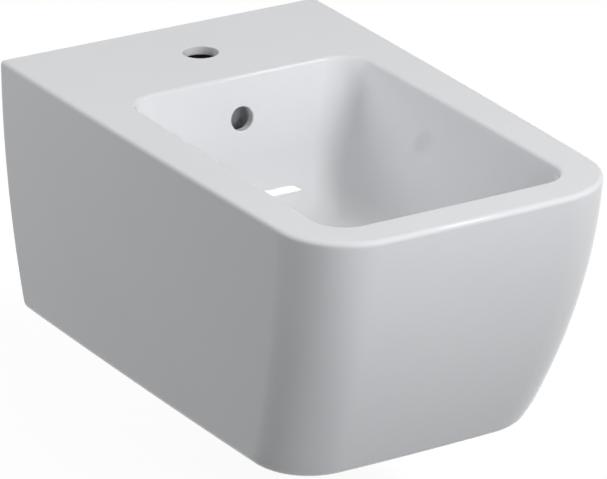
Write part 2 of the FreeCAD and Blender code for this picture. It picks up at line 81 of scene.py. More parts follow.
# Ceramic body, inside
wall_thickness = 9 * mm
deck_thickness = 9 * mm
foot_thickness = 10 * mm
rear_wall_thickness = 16 * mm
rear_wall_height = 150 * mm
opening_half = 113.9 * mm
opening_corner_radius = 20 * mm
opening_edge_radius = 2.5 * mm
foot_opening_half = 103.9 * mm
foot_opening_front = 404.6 * mm
foot_opening_corner_radius = 40 * mm
fixing_hole_radius = 10.2 * mm
fixing_spacing = 180 * mm
overrun = 1 * mm  # how far a cutting form passes the face that it cuts

# Tap hole
tap_hole_radius = 17.5 * mm
tap_hole_edge_radius = 1.2 * mm
tap_place = -78j * mm

# Bowl
bowl_half = 128 * mm
bowl_back = 154 * mm
bowl_front = 528.5 * mm
bowl_corner_radius = 32 * mm
bowl_floor_corner_radius = 20 * mm
bowl_side_bow = 1 * mm
bowl_end_bow = 1 * mm
bowl_side_slope = math.radians(18)
bowl_back_slope = math.radians(6)
bowl_front_slope = math.radians(10)
bowl_edge_radius = 4 * mm
bowl_depth = 140 * mm
bowl_floor_fall = 6 * mm
bowl_knee_radius = 40 * mm
bowl_back_knee_radius = 60 * mm
knee_start = bowl_depth - bowl_back_knee_radius
seat_z = rim_z - bowl_depth - bowl_floor_fall

# Overflow
overflow_radius = 12 * mm
overflow_depth = 43 * mm
overflow_edge_radius = 1.5 * mm
overflow_reach = 18 * mm
channel_half = 20 * mm
channel_gap = 18 * mm
channel_wall = 10 * mm

# Waste hole
waste_place = -300j * mm
seat_radius = 33 * mm
seat_depth = 6 * mm
waste_hole_radius = 23 * mm
boss_radius = 42 * mm
boss_height = 45 * mm
land_radius = 37 * mm
land_roundness = 0.96

# How finely the ceramic is divided
side_steps = 40
corner_steps = 24
edge_steps = 8
knee_steps = 24
wall_steps = 24
upper_wall_steps = 3
lower_wall_steps = 5
hollow_steps = 10
shell_steps = 2
tube_steps = 3
hole_steps = 64

# Edges
mouth_turn = math.radians(80)  # of the rounding at an opening's mouth
sharp_angle = math.radians(40)  # edges with a larger angle are shaded sharp
# how far from an edge the rows of a wall start or end, in radii of that edge
rim_clearance = 1.5
foot_clearance = 1.3
bowl_clearance = 1.2

# Patch of the bowl's back wall in which the overflow opens
patch_half = 19 * mm
patch_rows = 6
patch_columns = 5
# rows between the patch's square outline and the round hole, as shares of the way
patch_shares = (0.35, 0.65, 0.85)

# Wall studs: M12 thread at both ends of a plain shank
stud_radius = 6 * mm
stud_pitch = 1.75 * mm
stud_thread_depth = 1.07 * mm
stud_shank_radius = 5.4 * mm
stud_wall_thread = 52 * mm
stud_nut_thread = 30 * mm
stud_tip = 1.2 * mm
stud_steps = 32
# one turn of the thread: shares of the pitch, each with its share of the thread's height
thread_form = ((0, 0), (0.25, 0), (0.5625, 1), (0.6875, 1))

# Waste tail: G 1 1/4 thread below the nut
tail_radius = 20.95 * mm
tail_pitch = 2.309 * mm
tail_thread_depth = 1.479 * mm
tail_thread_drop = 1 * mm
tail_tip = 1.2 * mm
tail_bore_radius = 18.2 * mm
tail_steps = 64

# Latch spring
spring_wire_radius = 0.5 * mm
spring_turns = 7
spring_closed_turns = 1
spring_steps = 32
wire_steps = 12

# Finishes: two colours, how fine the noise between them is, roughness and relief
noise_detail = 4
ramp_stops = (0.3, 0.7)
finishes = {
    "white_glaze": dict(dark=(0.81, 0.815, 0.828), light=(0.83, 0.834, 0.844), scale=9,
                        roughness=(0.03, 0.06), bump=0.02 * mm, bump_scale=40),
    "zinc_steel": dict(dark=(0.38, 0.39, 0.41), light=(0.54, 0.55, 0.56), scale=260,
                       roughness=(0.25, 0.42), metallic=1, bump=0.02 * mm, bump_scale=900),
    "white_plastic": dict(dark=(0.8, 0.8, 0.78), light=(0.85, 0.85, 0.84), scale=120,
                          roughness=(0.38, 0.5), bump=0.02 * mm, bump_scale=1500),
    "chrome": dict(dark=(0.76, 0.77, 0.79), light=(0.83, 0.84, 0.86), scale=60,
                   roughness=(0.04, 0.1), metallic=1),
    "black_rubber": dict(dark=(0.03, 0.03, 0.03), light=(0.06, 0.06, 0.058), scale=180,
                         roughness=(0.6, 0.8), bump=0.03 * mm, bump_scale=1200),
    "brass": dict(dark=(0.6, 0.43, 0.16), light=(0.635, 0.458, 0.178), scale=100, stretch=(0.15, 0.15, 12),
                  roughness=(0.2, 0.26), metallic=1, bump=0.002 * mm, bump_scale=200),
    "grey_plastic": dict(dark=(0.27, 0.28, 0.3), light=(0.33, 0.34, 0.36), scale=120,
                         roughness=(0.4, 0.55), bump=0.02 * mm, bump_scale=1500),
    "blue_plastic": dict(dark=(0.15, 0.26, 0.42), light=(0.21, 0.34, 0.5), scale=120,
                         roughness=(0.2, 0.32), bump=0.01 * mm, bump_scale=1500),
    "spring_steel": dict(dark=(0.48, 0.49, 0.51), light=(0.6, 0.61, 0.63), scale=300,
                         roughness=(0.22, 0.35), metallic=1),
    # unglazed body inside the hollow: partly its own grey, partly painted shade, darker than bare fired clay
    # so that the hollow seen through the tap hole reads dark
    "raw_ceramic_and_shade": dict(dark=(0.36, 0.352, 0.336), light=(0.44, 0.432, 0.414), scale=25,
                        roughness=(0.75, 0.9), specular=0.05, bump=0.1 * mm, bump_scale=220),
}


def new_object(name, bm):
    mesh = bpy.data.meshes.new(name)
    bm.to_mesh(mesh)
    bm.free()
    obj = bpy.data.objects.new(name, mesh)
    bpy.context.scene.collection.objects.link(obj)
    return obj


def side_circle(start, end, bow):
    # centre and radius of the shallow arc between two corners of an outline that turns left
    half = abs(end - start) / 2
    radius = (half**2 + bow**2) / (2 * bow)
    inward = 1j * (end - start) / (2 * half)
    return (start + end) / 2 + inward * (radius - bow), radius


def corner_centre(before, after, radius, corner):
    # centre of the arc that touches two sides from inside
    (first, reach), (second, other_reach) = before, after
    reach -= radius
    other_reach -= radius
    apart = second - first
    along = (reach**2 - other_reach**2 + abs(apart) ** 2) / (2 * abs(apart))
    off = math.sqrt(reach**2 - along**2)
    unit = apart / abs(apart)
    centres = [first + unit * complex(along, side * off) for side in (-1, 1)]
    return min(centres, key=lambda centre: abs(centre - corner))


def on_circle(circle, place):
    centre, radius = circle
    return centre + (place - centre) * radius / abs(place - centre)


def arc(centre, start, end, steps):
    # places from start up to, but without, the end of an arc
    turn = cmath.phase((end - centre) / (start - centre))
    return [centre + (start - centre) * cmath.exp(1j * turn * k / steps) for k in range(steps)]


def ring(corners, bows, radius, depths):
    # points along bowed sides and the round corners between them, turning left. Each side lies at its own
    # depth below the rim. With one bow fewer than corners, the outline stays open at its ends.
    count = len(bows)
    last_corner = count if count == len(corners) else count - 1
    starts = list(corners[:count])
    ends = [corners[(i + 1) % len(corners)] for i in range(count)]
    circles = [side_circle(starts[i], ends[i], bows[i]) for i in range(count)]
    centres = []
    for i in range(last_corner):
        after = (i + 1) % count
        centre = corner_centre(circles[i], circles[after], radius, ends[i])
        centres.append(centre)
        ends[i] = on_circle(circles[i], centre)
        starts[after] = on_circle(circles[after], centre)
    points = []
    for i in range(count):
        points += [(place, depths[i]) for place in arc(circles[i][0], starts[i], ends[i], side_steps)]
        if i < last_corner:
            after = (i + 1) % count
            places = arc(centres[i], ends[i], starts[after], corner_steps)
            for k, place in enumerate(places):
                points.append((place, depths[i] + (depths[after] - depths[i]) * k / corner_steps))
        else:
            points.append((ends[i], depths[i]))
    return [Vector((place.real, place.imag, rim_z - depth)) for place, depth in points]


def circle_row(centre, radius, z, steps):
    places = [centre + radius * cmath.exp(2j * math.pi * k / steps) for k in range(steps)]
    return [Vector((place.real, place.imag, z)) for place in places]


def rounding(radius, slope, steps):
    # (inset, depth) over the rounded upper edge of a wall that comes in by slope for each unit of depth
    reach = radius * (slope + math.hypot(1, slope))
    end = math.pi / 2 + math.atan(slope)
    turns = [end * k / steps for k in range(steps + 1)]
    return [(reach - radius * math.sin(turn), radius * (1 - math.cos(turn))) for turn in turns]


def mouth(radius):
    # (growth, distance past the face) of an opening's wall that rounds over into the face it opens in,
    # stopping just short of flat so that it still crosses the face
    turns = spread(0, mouth_turn, edge_steps) + [mouth_turn]
    reach = radius * math.sin(mouth_turn)
    rows = [(radius * (1 - math.cos(turn)), radius * math.sin(turn) - reach) for turn in turns]
    growth, past = rows[-1]
    return rows + [(growth + reach, past + radius * math.cos(mouth_turn))]


def spread(start, end, steps):
    return [start + (end - start) * k / steps for k in range(steps)]


def add_row(bm, points):
    return [bm.verts.new(place) for place in points]


def bridge(bm, first, second, closed, leave_out=()):
    for i in range(len(first) if closed else len(first) - 1):
        after = (i + 1) % len(first)
        if i not in leave_out:
            bm.faces.new((first[i], first[after], second[after], second[i]))


def bridge_all(bm, rows, closed):
    for first, second in zip(rows, rows[1:]):
        bridge(bm, first, second, closed)


def skirt_insets(depth):
    # how far sides and front have come in at a depth, and the corner radius there
    share = depth / body_height
    side = foot_side_inset * share**2
    front = front_lean * share + (foot_front_inset - front_lean) * share**2
    radius = foot_corner_radius + (rim_corner_radius - foot_corner_radius) * (1 - share) ** 3
    return side, front, radius


def skirt_row(side, front, radius, side_depth, front_depth, back_y):
    front_y = front - body_depth
    corners = [
        complex(side - half_back, back_y),
        complex(side - half_front, front_y),
        complex(half_front - side, front_y),
        complex(half_back - side, back_y),
    ]
    bows = [side_bow, front_bow, side_bow]
    return ring(corners, bows, radius, [side_depth, front_depth, side_depth])


def outer_rows():
    # rows of the skin from the edge of the flat rim, over the skirt, to the edge of the flat foot
    rows = []
    back_y = -back_edge_radius
    rim_sides = rounding(rim_edge_radius, 0, edge_steps)
    rim_fronts = rounding(rim_edge_radius, front_lean / body_height, edge_steps)
    for (side, side_depth), (front, front_depth) in zip(rim_sides, rim_fronts):
        rows.append(skirt_row(side, front, rim_corner_radius - side, side_depth, front_depth, back_y))
    wall_start = rim_clearance * rim_edge_radius
    wall_end = body_height - foot_clearance * foot_edge_radius
    for depth in spread(wall_start, wall_end, wall_steps) + [wall_end]:
        rows.append(skirt_row(*skirt_insets(depth), depth, depth, back_y))
    side_end, front_end, radius = skirt_insets(body_height)
    side_slope = 2 * foot_side_inset / body_height
    front_slope = (2 * foot_front_inset - front_lean) / body_height
    foot_sides = rounding(foot_edge_radius, -side_slope, edge_steps)
    foot_fronts = rounding(foot_edge_radius, -front_slope, edge_steps)
    for (side, side_height), (front, front_height) in reversed(list(zip(foot_sides, foot_fronts))):
        rows.append(skirt_row(side_end + side, front_end + front, radius - side,
                              body_height - side_height, body_height - front_height, back_y))
    return rows


def add_back_edge(rows):
    # rounds the skin over to the wall plane at both ends of each row
    ends = [row[0].copy() for row in rows]
    for i, row in enumerate(rows):
        along = ends[min(i + 1, len(rows) - 1)] - ends[max(i - 1, 0)]
        outward = Vector((along.z, 0, -along.x)).normalized()
        if i in (0, len(rows) - 1):
            outward = Vector((0, 0, 1 if i == 0 else -1))
        mirrored = Vector((-outward.x, 0, outward.z))
        left, right = row[0].copy(), row[-1].copy()
        for inset, depth in reversed(rounding(back_edge_radius, 0, edge_steps)[:-1]):
            back = Vector((0, back_edge_radius - depth, 0))
            row.insert(0, left - outward * inset + back)
            row.append(right - mirrored * inset + back)


def wall_inset(slope, knee_radius, depth, grow):
    # how far a bowl wall has come in at a depth: a straight slope, then the knee
    knee = knee_radius + grow
    knee_depth = bowl_depth - knee_radius
    if depth <= knee_depth + knee * math.sin(slope):
        return depth * math.tan(slope)
    centre = knee_depth * math.tan(slope) + knee / math.cos(slope)
    return centre - math.sqrt(max(knee**2 - (depth - knee_depth) ** 2, 0))


def bowl_sizes(depth, grow):
    # half width, back, front and corner radius of the bowl at a depth
    half = bowl_half + grow - wall_inset(bowl_side_slope, bowl_knee_radius, depth, grow)
    back_y = grow - bowl_back - wall_inset(bowl_back_slope, bowl_back_knee_radius, depth, grow)
    front_y = -grow - bowl_front + wall_inset(bowl_front_slope, bowl_knee_radius, depth, grow)
    share = min(depth / bowl_depth, 1)
    radius = bowl_corner_radius + (bowl_floor_corner_radius - bowl_corner_radius) * share + grow * (1 - share)
    return half, back_y, front_y, radius


def end_bow(half):
    # back and front keep their radius as the bowl narrows
    return bowl_end_bow * (half / bowl_half) ** 2


def bowl_row(half, back_y, front_y, radius, bow_share, depths):
    corners = [complex(half, back_y), complex(-half, back_y), complex(-half, front_y), complex(half, front_y)]
    across = end_bow(half) * bow_share
    along = bowl_side_bow * bow_share
    return ring(corners, [across, along, across, along], radius, depths)


def bowl_rim_rows():
    rows = []
    slopes = (bowl_back_slope, bowl_side_slope, bowl_front_slope)
    edges = [rounding(bowl_edge_radius, -math.tan(slope), edge_steps) for slope in slopes]
    for (back, back_depth), (side, side_depth), (front, front_depth) in zip(*edges):
        depths = [back_depth, side_depth, front_depth, side_depth]
        rows.append(bowl_row(bowl_half + side, back - bowl_back, -front - bowl_front,
                             bowl_corner_radius + side, 1, depths))
    return rows


def bowl_wall_rows(depths, grow):
    return [bowl_row(*bowl_sizes(depth, grow), 1, [depth] * 4) for depth in depths]


def eased(share):
    # from 0 to 1, level at both ends
    return 3 * share**2 - 2 * share**3


def bowl_floor_rows(grow):
    # knee and falling floor, down to the ring around the waste
    knee = bowl_back_knee_radius + grow
    turns = spread(0, math.pi / 2, knee_steps)
    rows = bowl_wall_rows([knee_start + knee * math.sin(turn) for turn in turns], grow)
    floor_depth = bowl_depth + grow
    edge_sizes = bowl_sizes(floor_depth, grow)
    land = land_radius + grow / 2
    land_sizes = (land, waste_place.imag + land, waste_place.imag - land, land * land_roundness)
    for share in spread(0, 1, wall_steps) + [1]:
        sizes = [a + (b - a) * share for a, b in zip(edge_sizes, land_sizes)]
        depth = floor_depth + bowl_floor_fall * eased(share)
        rows.append(bowl_row(*sizes, 1 - land_roundness * share, [depth] * 4))
    return rows


def back_wall_point(x, z):
    # the point of the bowl's back wall at a place across and a height
    half, back_y = bowl_sizes(rim_z - z, 0)[:2]
    centre, reach = side_circle(complex(half, back_y), complex(-half, back_y), end_bow(half))
    return Vector((x, centre.imag + math.sqrt(reach**2 - x**2), z))


def add_overflow(bm, edge):
    # blends the square hole that the rows leave in the back wall into a round one with a rounded mouth
    centre = back_wall_point(0, rim_z - overflow_depth)
    across = Vector((1, 0, 0))
    upward = Vector((0, math.sin(bowl_back_slope), math.cos(bowl_back_slope)))
    inward = Vector((0, math.cos(bowl_back_slope), -math.sin(bowl_back_slope)))
    turns = []
    for vert in edge:
        away = vert.co - centre
        turns.append(math.atan2(away.dot(upward), away.dot(across)))

    def circle(radius, depth):
        arms = [across * math.cos(turn) + upward * math.sin(turn) for turn in turns]
        return [centre + arm * radius + inward * depth for arm in arms]

    rows = [edge]
    outer = circle(overflow_radius + overflow_edge_radius, 0)
    for share in patch_shares:
        places = [vert.co.lerp(end, share) for vert, end in zip(edge, outer)]
        rows.append(add_row(bm, [back_wall_point(place.x, place.z) for place in places]))
    for inset, depth in rounding(overflow_edge_radius, 0, edge_steps):
        rows.append(add_row(bm, circle(overflow_radius + inset, depth)))
    for depth in spread(overflow_edge_radius, overflow_reach, tube_steps)[1:] + [overflow_reach]:
        rows.append(add_row(bm, circle(overflow_radius, depth)))
    bridge_all(bm, rows, True)
    bm.faces.new(rows[-1])


def add_waste_hole(bm, land, points):
    # seat for the flange and the hole below it, round like the circle but divided like the floor's last row
    levels = [(seat_radius, 0), (seat_radius, seat_depth), (waste_hole_radius, seat_depth),
              (waste_hole_radius, boss_height + channel_wall)]
    rows = [land]
    for radius, drop in levels:
        row = []
        for point in points:
            place = on_circle((waste_place, radius), complex(point.x, point.y))
            row.append(Vector((place.real, place.imag, seat_z - drop)))
        rows.append(add_row(bm, row))
    bridge_all(bm, rows, True)
    bm.faces.new(rows[-1])


def add_bowl(bm):
    # the bowl from its rounded rim to the blind end of the waste hole; returns the loop in the deck
    rim = [add_row(bm, row) for row in bowl_rim_rows()]
    patch_top = overflow_depth - patch_half
    patch_foot = overflow_depth + patch_half
    depths = spread(bowl_clearance * bowl_edge_radius, patch_top, upper_wall_steps)
    first_patch_row = len(rim) + len(depths)
    last_patch_row = first_patch_row + patch_rows
    depths += spread(patch_top, patch_foot, patch_rows) + spread(patch_foot, knee_start, lower_wall_steps)
    points = bowl_wall_rows(depths, 0) + bowl_floor_rows(0)
    rows = rim + [add_row(bm, row) for row in points]
    middle = side_steps // 2
    patch = range(middle - patch_columns, middle + patch_columns)
    for i, (first, second) in enumerate(zip(rows, rows[1:])):
        bridge(bm, first, second, True, patch if first_patch_row <= i < last_patch_row else ())
    upper = rows[first_patch_row][patch[0]:patch[-1] + 2]
    lower = rows[last_patch_row][patch[0]:patch[-1] + 2]
    near = [rows[i][patch[-1] + 1] for i in range(first_patch_row + 1, last_patch_row)]
    far = [rows[i][patch[0]] for i in range(first_patch_row + 1, last_patch_row)]
    add_overflow(bm, upper + near + lower[::-1] + far[::-1])
    add_waste_hole(bm, rows[-1], points[-1])
    return rim[0]


def add_tap_hole(bm):
    rows = []
    for inset, depth in rounding(tap_hole_edge_radius, 0, edge_steps):
        rows.append(add_row(bm, circle_row(tap_place, tap_hole_radius + inset, rim_z - depth, hole_steps)))
    foot = rim_z - 2 * deck_thickness
    rows.append(add_row(bm, circle_row(tap_place, tap_hole_radius, foot, hole_steps)))
    bridge_all(bm, rows, True)
    bm.faces.new(rows[-1])
    return rows[0]


def ceramic_skin():
    # closed skin: skirt, flat rim and deck, bowl, tap hole, foot and wall face
    bm = bmesh.new()
    points = outer_rows()
    columns = len(points[0])
    add_back_edge(points)
    rows = [add_row(bm, row) for row in points]
    bridge_all(bm, rows, False)
    for row in (rows[0], rows[-1]):
        for k in range(edge_steps):
            bm.faces.new((row[k], row[k + 1], row[-k - 2], row[-k - 1]))
    bm.faces.new([row[0] for row in rows] + [row[-1] for row in reversed(rows)])
    bm.faces.new(rows[-1][edge_steps:edge_steps + columns])
    loops = [rows[0][edge_steps:edge_steps + columns], add_bowl(bm), add_tap_hole(bm)]
    verts = [vert for loop in loops for vert in loop]
    for triangle in tessellate_polygon([[vert.co for vert in loop] for loop in loops]):
        bm.faces.new([verts[i] for i in triangle])
    bmesh.ops.delete(bm, geom=[vert for vert in bm.verts if not vert.link_faces], context="VERTS")
    bmesh.ops.recalc_face_normals(bm, faces=bm.faces)
    return new_object("ceramic_shell", bm)


def closed_form(name, rows, closed):
    # solid between rows: each row is a closed loop, or open along a flat back
    bm = bmesh.new()
    rows = [add_row(bm, row) for row in rows]
    bridge_all(bm, rows, closed)
    if not closed:
        bm.faces.new([row[0] for row in rows] + [row[-1] for row in reversed(rows)])
    bm.faces.new(rows[0])
    bm.faces.new(rows[-1])
    bmesh.ops.recalc_face_normals(bm, faces=bm.faces)
    return new_object(name, bm)


def block(name, low, high, is_rounded, radius):
    # box between two corners, with chosen edges rounded
    bm = bmesh.new()
    bmesh.ops.create_cube(bm, size=1)
    for vert in bm.verts:
        vert.co = Vector(a + (b - a) * (c + 0.5) for a, b, c in zip(low, high, vert.co))
    chosen = [edge for edge in bm.edges if is_rounded(*(vert.co for vert in edge.verts))]
    bmesh.ops.bevel(bm, geom=chosen, offset=radius, segments=edge_steps, profile=0.5, affect="EDGES")
    return new_object(name, bm)


def bake(obj):
    # makes what the modifiers show the mesh itself
    graph = bpy.context.evaluated_depsgraph_get()
    mesh = bpy.data.meshes.new_from_object(obj.evaluated_get(graph))
    obj.modifiers.clear()
    obj.data = mesh


def cut(obj, tool, keep_tool=False):
    modifier = obj.modifiers.new("cut", "BOOLEAN")
    modifier.operation = "DIFFERENCE"
    modifier.solver = "EXACT"
    modifier.material_mode = "TRANSFER"
    modifier.object = tool
    bake(obj)
    if not keep_tool:
        bpy.data.objects.remove(tool)


def hollow_form():
    # the space behind the skirt, from the deck down to the foot
    rows = []
    end = body_height - foot_thickness
    for depth in spread(deck_thickness, end, hollow_steps) + [end]:
        side, front, radius = skirt_insets(depth)
        rows.append(skirt_row(side + wall_thickness, front + wall_thickness, radius - wall_thickness,
                              depth, depth, -rear_wall_thickness))
    return closed_form("hollow", rows, False)


def bowl_shell_form():
    # the bowl grown by the thickness of its wall
    depths = [deck_thickness / 2] + spread(knee_start / 2, knee_start, shell_steps)
    rows = bowl_wall_rows(depths, wall_thickness) + bowl_floor_rows(wall_thickness)
    return closed_form("bowl_shell", rows, True)


def foot_opening_form():
    # opening in the foot, which runs on through the wall face
    rows = []
    for growth, past in [(0, -foot_thickness - overrun)] + mouth(opening_edge_radius):
        back = complex(opening_half + growth, overrun)
        front = complex(foot_opening_half + growth, -foot_opening_front - growth)
        corners = [complex(-back.real, back.imag), complex(-front.real, front.imag), front, back]
        bows = [side_bow, front_bow, side_bow]
        rows.append(ring(corners, bows, foot_opening_corner_radius + growth, [body_height + past] * 3))
    return closed_form("foot_opening", rows, False)


def pipe_opening_form():
    # arch through the rear wall, open at the foot
    rows = []
    foot = foot_z - opening_corner_radius
    for growth, past in [(0, -rear_wall_thickness - overrun)] + mouth(opening_edge_radius):
        half = opening_half + growth
        radius = opening_corner_radius + growth
        shoulder = rim_z - rear_wall_height + growth - radius
        left = complex(radius - half, shoulder)
        right = complex(half - radius, shoulder)
        places = [complex(-half, foot)]
        places += arc(left, left - radius, left + 1j * radius, corner_steps) + [left + 1j * radius]
        places += arc(right, right + 1j * radius, right + radius, corner_steps) + [right + radius]
        places.append(complex(half, foot))
        rows.append([Vector((place.real, past, place.imag)) for place in places])
    return closed_form("pipe_opening", rows, True)


def fixing_hole_form(side):
    places = [cmath.exp(2j * math.pi * k / hole_steps) * fixing_hole_radius for k in range(hole_steps)]
    centre_x = side * fixing_spacing / 2
    ends = (overrun, -rear_wall_thickness - overrun)
    rows = [[Vector((centre_x + place.real, y, place.imag)) for place in places] for y in ends]
    return closed_form("fixing_hole", rows, True)


def hollow_out(shell, glaze, raw_and_shade):
    # leaves the bowl's wall, the overflow duct and the waste boss standing in the hollow, with the overflow
    # channel inside the duct
    bowl_shell = bowl_shell_form()
    duct_back = channel_gap + wall_thickness - bowl_back
    channel_foot = seat_z - wall_thickness - channel_gap
    channel_top = rim_z - overflow_depth + overflow_radius + channel_wall / 2
    duct_half = channel_half + channel_wall
    hollow = hollow_form()
    cut(hollow, bowl_shell, keep_tool=True)
    duct_low = (-duct_half, waste_place.imag, channel_foot - channel_wall)
    duct_high = (duct_half, duct_back + channel_wall, rim_z - deck_thickness / 2)

    def is_duct_edge(start, end):
        return min(start.y, end.y) > duct_back and abs(start.x - end.x) < mm

    cut(hollow, block("duct", duct_low, duct_high, is_duct_edge, channel_wall))
    boss_levels = (seat_z, seat_z - boss_height)
    boss_rows = [circle_row(waste_place, boss_radius, z, hole_steps) for z in boss_levels]
    cut(hollow, closed_form("boss", boss_rows, True))
    channel_low = (-channel_half, waste_place.imag, channel_foot)
    channel_high = (channel_half, duct_back, channel_top)

    def is_channel_edge(start, end):
        return min(start.y, end.y) > duct_back - mm and abs(start.x - end.x) < mm

    channel = block("channel", channel_low, channel_high, is_channel_edge, channel_wall / 2)
    cut(channel, bowl_shell)
    # the hollow, openings and fixing holes take the raw finish, whose darkness is partly painted shade
    tools = [(channel, glaze), (hollow, raw_and_shade), (pipe_opening_form(), raw_and_shade), (foot_opening_form(), raw_and_shade)]
    tools += [(fixing_hole_form(side), raw_and_shade) for side in (-1, 1)]
    for tool, material in tools:
        tool.data.materials.clear()
        tool.data.materials.append(material)
        cut(shell, tool)


def smooth(obj):
    # smooth shading with sharp edges above an angle, led by the larger faces
    obj.data.shade_smooth()
    obj.data.set_sharp_from_angle(angle=sharp_angle)
    modifier = obj.modifiers.new("normals", "WEIGHTED_NORMAL")
    modifier.keep_sharp = True


def stud_radius_at(y, height, low, high):
    # radius of a stud at a place along it, where the thread has a share of its full height
    threaded = stud_radius - stud_thread_depth * (1 - height)
    into_shank = min(y - low - stud_nut_thread, high - stud_wall_thread - y)
    runout = min(max(into_shank / stud_pitch, 0), 1)
    radius = threaded + (stud_shank_radius - threaded) * runout
    return min(radius, stud_radius - stud_tip + min(y - low, high - y))


def tail_radius_at(z, height, low, top):
    # radius of the waste's tail, whose thread runs out below the plain tube
    root = tail_radius - tail_thread_depth
    threaded = root + tail_thread_depth * height
    runout = min(max(1 - (top - z) / tail_pitch, 0), 1)
    radius = threaded + (root - threaded) * runout
    return min(radius, tail_radius - tail_tip + z - low)


def add_thread(bm, low, high, pitch, steps, radius_at, place):
    # rows wind round the rod with the thread, so that each turn joins on to the next. At each end there is
    # one turn more, held at the rod's end.
    turns = math.ceil((high - low) / pitch) + 2
    rows = []
    for turn in range(turns):
        for share, height in thread_form:
            row = []
            for k in range(steps):
                along = low + pitch * (turn - 1 + share + k / steps)
                along = min(max(along, low), high)
                arm = cmath.exp(2j * math.pi * k / steps) * radius_at(along, height)
                row.append(place(arm, along))
            rows.append(add_row(bm, row))
    bridge_all(bm, rows, False)
    next_turn = rows[len(thread_form):]
    for (first, second), (first_on, second_on) in zip(zip(rows, rows[1:]), zip(next_turn, next_turn[1:])):
        bm.faces.new((first[-1], first_on[0], second_on[0], second[-1]))


def close_ends(bm):
    # welds points that fall together and fills the flat ends
    bmesh.ops.remove_doubles(bm, verts=bm.verts, dist=weld)
    bmesh.ops.delete(bm, geom=[edge for edge in bm.edges if not edge.link_faces], context="EDGES")
    bmesh.ops.holes_fill(bm, edges=[edge for edge in bm.edges if edge.is_boundary])
    bmesh.ops.recalc_face_normals(bm, faces=bm.faces)


def build_studs(materials):
    low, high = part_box("wall_studs")
    bm = bmesh.new()

    def radius_at(y, height):
        return stud_radius_at(y, height, low.y, high.y)

    for side in (-1, 1):
        def place(arm, y):
            return Vector((side * fixing_spacing / 2 + arm.real, y, -arm.imag))

        add_thread(bm, low.y, high.y, stud_pitch, stud_steps, radius_at, place)
    close_ends(bm)
    studs = new_object("threaded_studs", bm)
    studs.data.materials.append(materials["zinc_steel"])
    smooth(studs)
    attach(studs, "fixed")
    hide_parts("wall_studs")


def threaded_tail(low, top):
    # tube with the tail's thread, whose plain upper end reaches into the wall of the tube above
    bm = bmesh.new()

    def radius_at(z, height):
        return tail_radius_at(z, height, low, top)

    def place(arm, z):
        return Vector((arm.real, waste_place.imag + arm.imag, z))

    add_thread(bm, low, top + overrun, tail_pitch, tail_steps, radius_at, place)
    close_ends(bm)
    tail = new_object("threaded_tail", bm)
    levels = (low - overrun, top + 2 * overrun)
    bore = [circle_row(waste_place, tail_bore_radius, z, tail_steps) for z in levels]
    cut(tail, closed_form("tail_bore", bore, True))
    return tail


def keep_normals(obj, solid, low):
    # above a height, shades the mesh with the normals of the solid that it was made from
    bake(obj)
    tree = KDTree(len(solid.loops))
    for loop in solid.loops:
        tree.insert(solid.vertices[loop.vertex_index].co, loop.index)
    tree.balance()
    normals = [corner.vector.copy() for corner in obj.data.corner_normals]
    for face in obj.data.polygons:
        for i in face.loop_indices:
            place = obj.data.vertices[obj.data.loops[i].vertex_index].co
            near = [solid.corner_normals[found[1]].vector for found in tree.find_range(place, weld)]
            if near and face.center.z > low:
                normals[i] = max(near, key=face.normal.dot)
    obj.data.normals_split_custom_set(normals)


def build_waste(materials):
    # the waste with its tail cut off below the nut and made again with a thread
    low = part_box("waste_body")[0].z
    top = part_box("back_nut")[0].z - tail_thread_drop
    bm = bmesh.new()
    bm.from_mesh(frame["nodes"]["waste_body"].data)
    bmesh.ops.remove_doubles(bm, verts=bm.verts, dist=weld)
    waste = new_object("threaded_waste", bm)
    end = [circle_row(waste_place, tail_radius + overrun, z, tail_steps) for z in (low - overrun, top)]
    cut(waste, closed_form("tail_end", end, True))
    tail = threaded_tail(low, top)
    bm = bmesh.new()
    bm.from_mesh(waste.data)
    bm.from_mesh(tail.data)
    bm.to_mesh(waste.data)
    bm.free()
    bpy.data.objects.remove(tail)
    waste.data.materials.clear()
    waste.data.materials.append(materials["chrome"])
    smooth(waste)
    keep_normals(waste, frame["nodes"]["waste_body"].data, top)
    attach(waste, "fixed")
    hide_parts("waste_body")


def build_spring(materials):
    # wire that lies closed over its first and last turn and climbs evenly between them
    low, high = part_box("cartridge_spring")
    coil_radius = (high.x - low.x) / 2 - spring_wire_radius
    climb = high.z - low.z - 2 * spring_wire_radius
    closed_climb = 2 * spring_wire_radius * spring_closed_turns
    open_turns = spring_turns - 2 * spring_closed_turns
    rows = []
    for k in range(spring_turns * spring_steps + 1):
        turn = k / spring_steps
        first = min(turn, spring_closed_turns)
        last = max(turn - spring_turns + spring_closed_turns, 0)
        middle = turn - first - last
        rise = (first + last) * closed_climb / spring_closed_turns
        rise += middle * (climb - 2 * closed_climb) / open_turns
        arm = cmath.exp(2j * math.pi * turn)
        row = []
        for j in range(wire_steps):
            across = cmath.exp(2j * math.pi * j / wire_steps) * spring_wire_radius
            place = waste_place + arm * (coil_radius + across.real)
            row.append(Vector((place.real, place.imag, low.z + spring_wire_radius + rise + across.imag)))
        rows.append(row)
    spring = closed_form("latch_spring", rows, True)
    spring.data.materials.append(materials["spring_steel"])
    smooth(spring)
    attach(spring, "fixed")
    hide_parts("cartridge_spring")
    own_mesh(spring)


def nodes_of(material):
    material.use_nodes = True
    tree = material.node_tree
    return tree, tree.nodes["Principled BSDF"]


